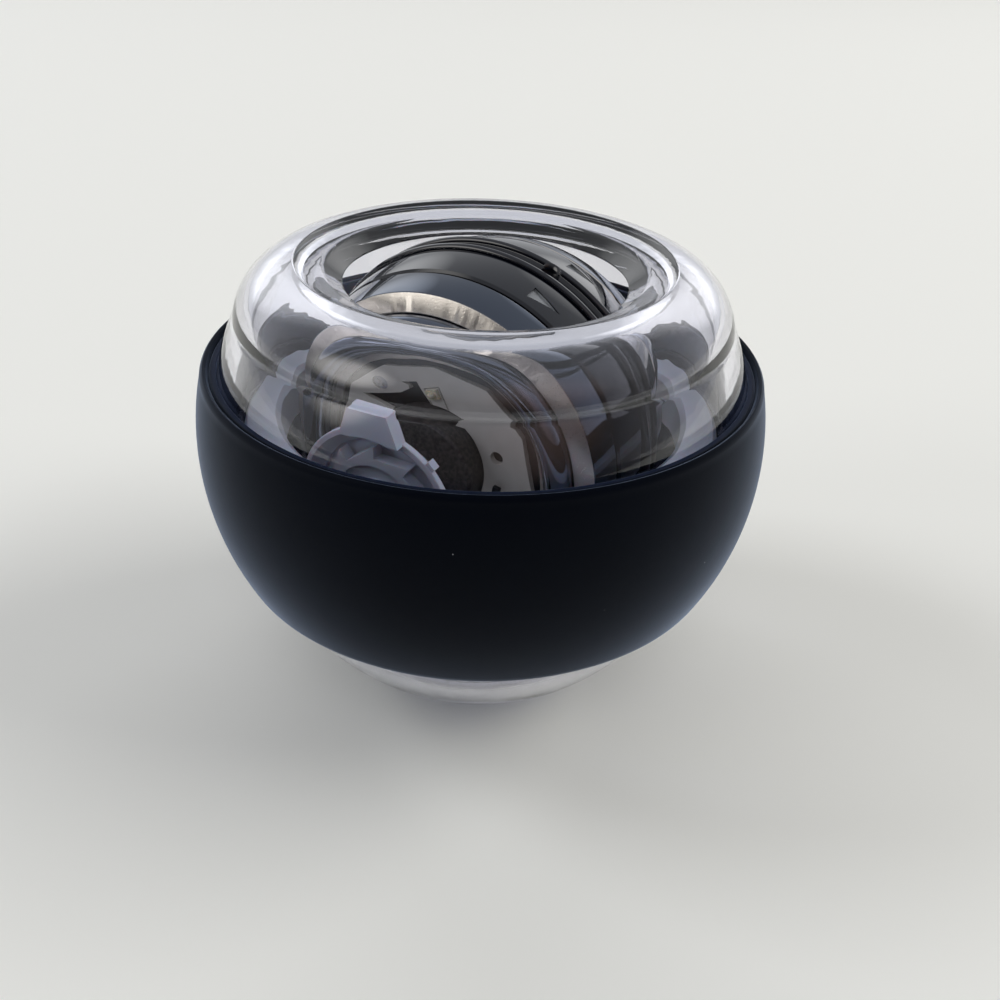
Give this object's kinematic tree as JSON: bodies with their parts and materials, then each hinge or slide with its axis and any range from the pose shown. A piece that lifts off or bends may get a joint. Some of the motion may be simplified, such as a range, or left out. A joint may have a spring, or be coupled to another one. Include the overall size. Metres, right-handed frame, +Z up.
{
  "type": "gyroscopic wrist ball",
  "caption": "Hand-held wrist and forearm trainer: clear shell with a grip band round a metal and plastic rotor that precesses in a race, with a wound spring start.",
  "frame": {"origin": "middle of the flat face of the foot that the ball rests on", "axes": "+Z up through the thumb opening, along the shell's axis; -Y towards the viewer of the picture; the rotor's axle is level, with its near end 27.7 degrees from -Y towards -X"},
  "size_m": [0.071, 0.071, 0.0596],
  "materials": {
    "clear_polycarbonate": "clear moulded polycarbonate, polished",
    "silicone_band": "matte moulded silicone, dark navy",
    "white_nylon": "natural white moulded nylon",
    "black_abs": "moulded black ABS",
    "gloss_black_abs": "polished black ABS",
    "zinc": "die-cast zinc alloy, plated, with a polished and a sandblasted band",
    "dark_chrome": "dark chrome plate",
    "board": "glass-epoxy laminate with a pale solder mask",
    "led": "clear moulded LED body",
    "steel": "ground steel",
    "bronze": "sintered bronze",
    "copper": "enamelled copper winding",
    "magnet": "nickel-plated magnets"
  },
  "bodies": {
    "shell": {"upper_shell": "clear_polycarbonate", "lower_shell": "clear_polycarbonate", "foot_disc": "clear_polycarbonate", "grip_band": "silicone_band"},
    "ring": {"track_ring": "white_nylon", "arbor_bush": "bronze", "axle_bush": "bronze", "pawl_pin": "steel", "ring_magnets": "magnet", "magnet_cover": "white_nylon"},
    "rotor": {"axle": "steel", "rotor_core": "black_abs", "drum_near": "gloss_black_abs", "drum_far": "gloss_black_abs", "weight_ring_near": "zinc", "weight_ring_far": "zinc", "trim_ring_near": "dark_chrome", "trim_ring_far": "dark_chrome", "circuit_board": "board", "board_screws": "steel", "board_leds": "led", "board_chip": "black_abs", "board_capacitor": "black_abs", "board_resistors": "black_abs", "spring_barrel": "black_abs", "barrel_lid": "black_abs", "mainspring": "steel", "coil_bobbin": "black_abs", "generator_coil": "copper", "far_cover": "black_abs", "cover_screws": "steel"},
    "starter": {"ratchet_wheel": "white_nylon", "spring_arbor": "steel"},
    "pawl": {"ratchet_pawl": "white_nylon"}
  },
  "joints": [
    {"name": "ring_precession", "type": "hinge", "parent": "shell", "child": "ring", "pos_m": [0, 0, 0.0365], "axis": [0, 0, 1], "continuous": true},
    {"name": "rotor_spin", "type": "hinge", "parent": "ring", "child": "rotor", "pos_m": [0, 0, 0.0365], "axis": [-0.4648, -0.8854, 0], "continuous": true},
    {"name": "starter_wind", "type": "hinge", "parent": "rotor", "child": "starter", "pos_m": [0, 0, 0.0365], "axis": [-0.4648, -0.8854, 0], "range_deg": [0, 720], "stiffness_Nm_per_rad": 0.004},
    {"name": "pawl_drop", "type": "hinge", "parent": "ring", "child": "pawl", "pos_m": [-0.0167, -0.01777, 0.02815], "axis": [-0.4648, -0.8854, 0], "range_deg": [0, 12], "stiffness_Nm_per_rad": 0.0005}
  ]
}
